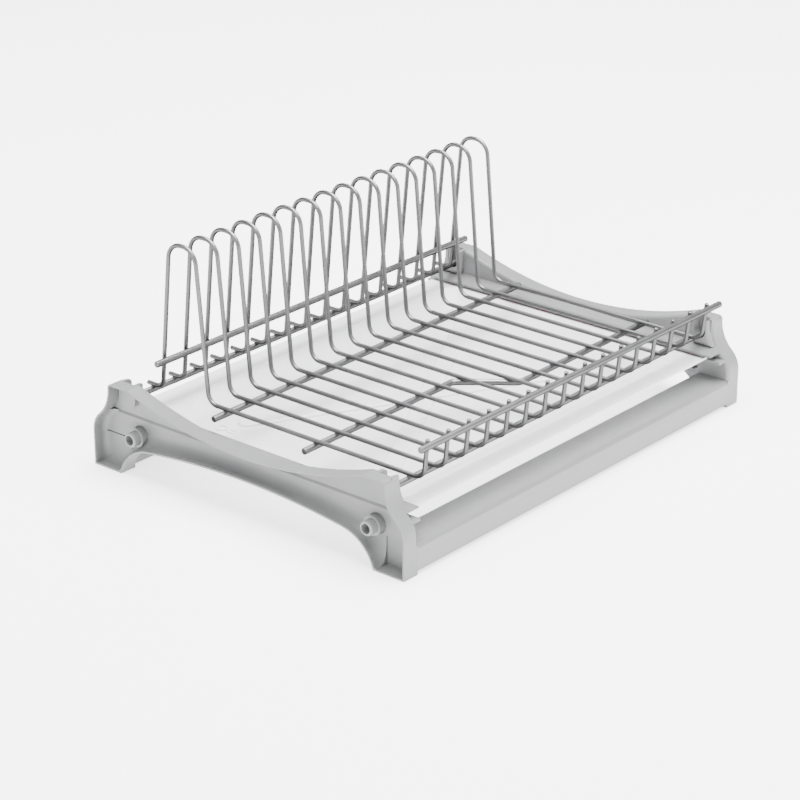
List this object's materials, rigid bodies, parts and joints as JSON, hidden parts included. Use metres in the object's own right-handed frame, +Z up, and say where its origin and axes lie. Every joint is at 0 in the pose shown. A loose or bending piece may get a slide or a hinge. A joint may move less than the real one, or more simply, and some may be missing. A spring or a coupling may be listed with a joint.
{
  "type": "dish drying rack",
  "caption": "Dish rack for inside a wall cabinet: wire rack with tall plate arches lifts off two arched end brackets, and a drip tray slides out between them.",
  "frame": {"origin": "on the floor plane under the feet, at the middle of the rack's width and depth", "axes": "+X to the user's right along the rods and profiles, +Y from the front to the back of the cabinet, +Z up"},
  "size_m": [0.366, 0.27, 0.1597],
  "materials": {
    "bracket_plastic": "fine matte light grey moulded plastic",
    "profile_plastic": "satin light grey extruded plastic",
    "sleeve_plastic": "matte light grey moulded plastic",
    "tray_plastic": "glossy white moulded plastic",
    "rack_steel": "satin drawn stainless wire"
  },
  "bodies": {
    "frame": {"left_bracket": "bracket_plastic", "right_bracket": "bracket_plastic", "front_profile": "profile_plastic", "rear_profile": "profile_plastic", "left_front_fixing_sleeve": "sleeve_plastic", "left_rear_fixing_sleeve": "sleeve_plastic", "right_front_fixing_sleeve": "sleeve_plastic", "right_rear_fixing_sleeve": "sleeve_plastic"},
    "plate_rack": {"front_top_rod": "rack_steel", "rear_top_rod": "rack_steel", "front_bottom_rod": "rack_steel", "rear_bottom_rod": "rack_steel", "middle_rear_rod": "rack_steel", "middle_front_rod": "rack_steel", "plate_wire_01": "rack_steel", "plate_wire_02": "rack_steel", "plate_wire_03": "rack_steel", "plate_wire_04": "rack_steel", "plate_wire_05": "rack_steel", "plate_wire_06": "rack_steel", "plate_wire_07": "rack_steel", "plate_wire_08": "rack_steel", "plate_wire_09": "rack_steel", "plate_wire_10": "rack_steel", "plate_wire_11": "rack_steel", "plate_wire_12": "rack_steel", "plate_wire_13": "rack_steel", "plate_wire_14": "rack_steel", "plate_wire_15": "rack_steel", "plate_wire_16": "rack_steel"},
    "tray": {"drip_tray": "tray_plastic"}
  },
  "joints": [
    {"name": "rack_lift", "type": "slide", "parent": "frame", "child": "plate_rack", "axis": [0, 0, 1], "range_m": [0, 0.08]},
    {"name": "tray_slide", "type": "slide", "parent": "frame", "child": "tray", "axis": [0, -1, 0], "range_m": [0, 0.2]}
  ]
}
